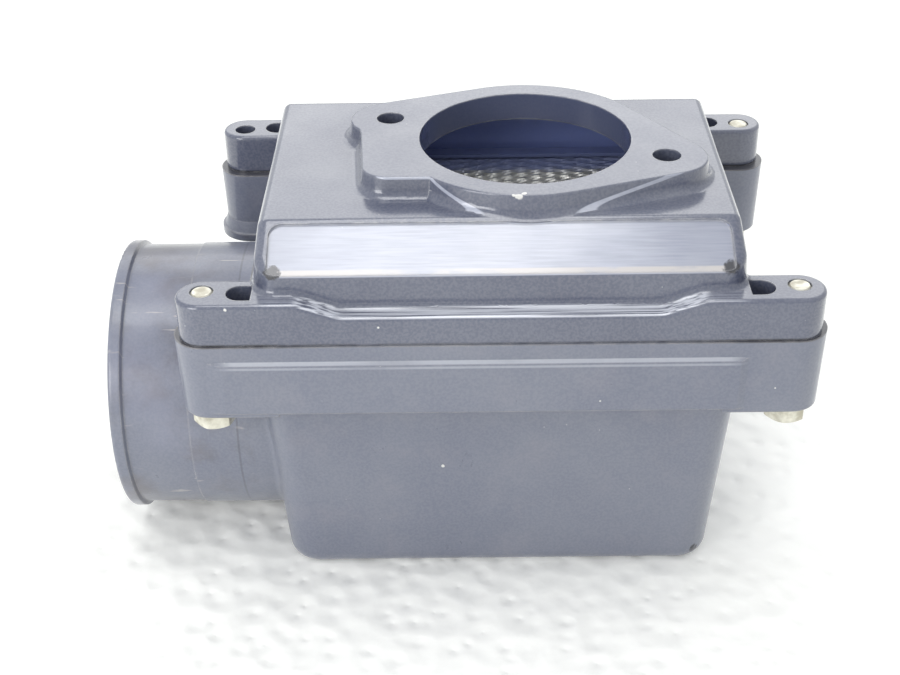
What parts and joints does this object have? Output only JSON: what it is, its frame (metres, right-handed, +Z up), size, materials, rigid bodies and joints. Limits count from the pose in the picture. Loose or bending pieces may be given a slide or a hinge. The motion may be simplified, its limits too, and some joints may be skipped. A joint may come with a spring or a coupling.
{
  "type": "air box",
  "caption": "Cast two-part engine air box with a side intake tube, a two-hole carburettor flange on top and screens of expanded metal inside.",
  "frame": {"origin": "on the flat underside, midway between the four bolt axes", "axes": "+Z up, out of the carburettor flange; +X from the intake tube towards the closed end; +Y from the side with the sloped bare panel shown in the picture to the back"},
  "size_m": [0.1897, 0.1147, 0.1161],
  "materials": {
    "black_paint": "black enamel over cast aluminium, satin to gloss, with worn edges, dust and fine scratches",
    "screen_aluminium": "bare expanded aluminium, bright on its edges",
    "zinc_steel": "zinc-plated steel, slightly yellowed",
    "seal_rubber": "black moulded rubber, matt"
  },
  "bodies": {
    "root": {"cover": "black_paint", "case": "black_paint", "seal": "seal_rubber", "screen_frame": "screen_aluminium", "screen_lower": "screen_aluminium", "screen_middle": "screen_aluminium", "screen_upper": "screen_aluminium", "bolt_front_left": "zinc_steel", "washer_front_left": "zinc_steel", "bolt_front_right": "zinc_steel", "washer_front_right": "zinc_steel", "bolt_rear_right": "zinc_steel", "washer_rear_right": "zinc_steel"}
  },
  "joints": []
}
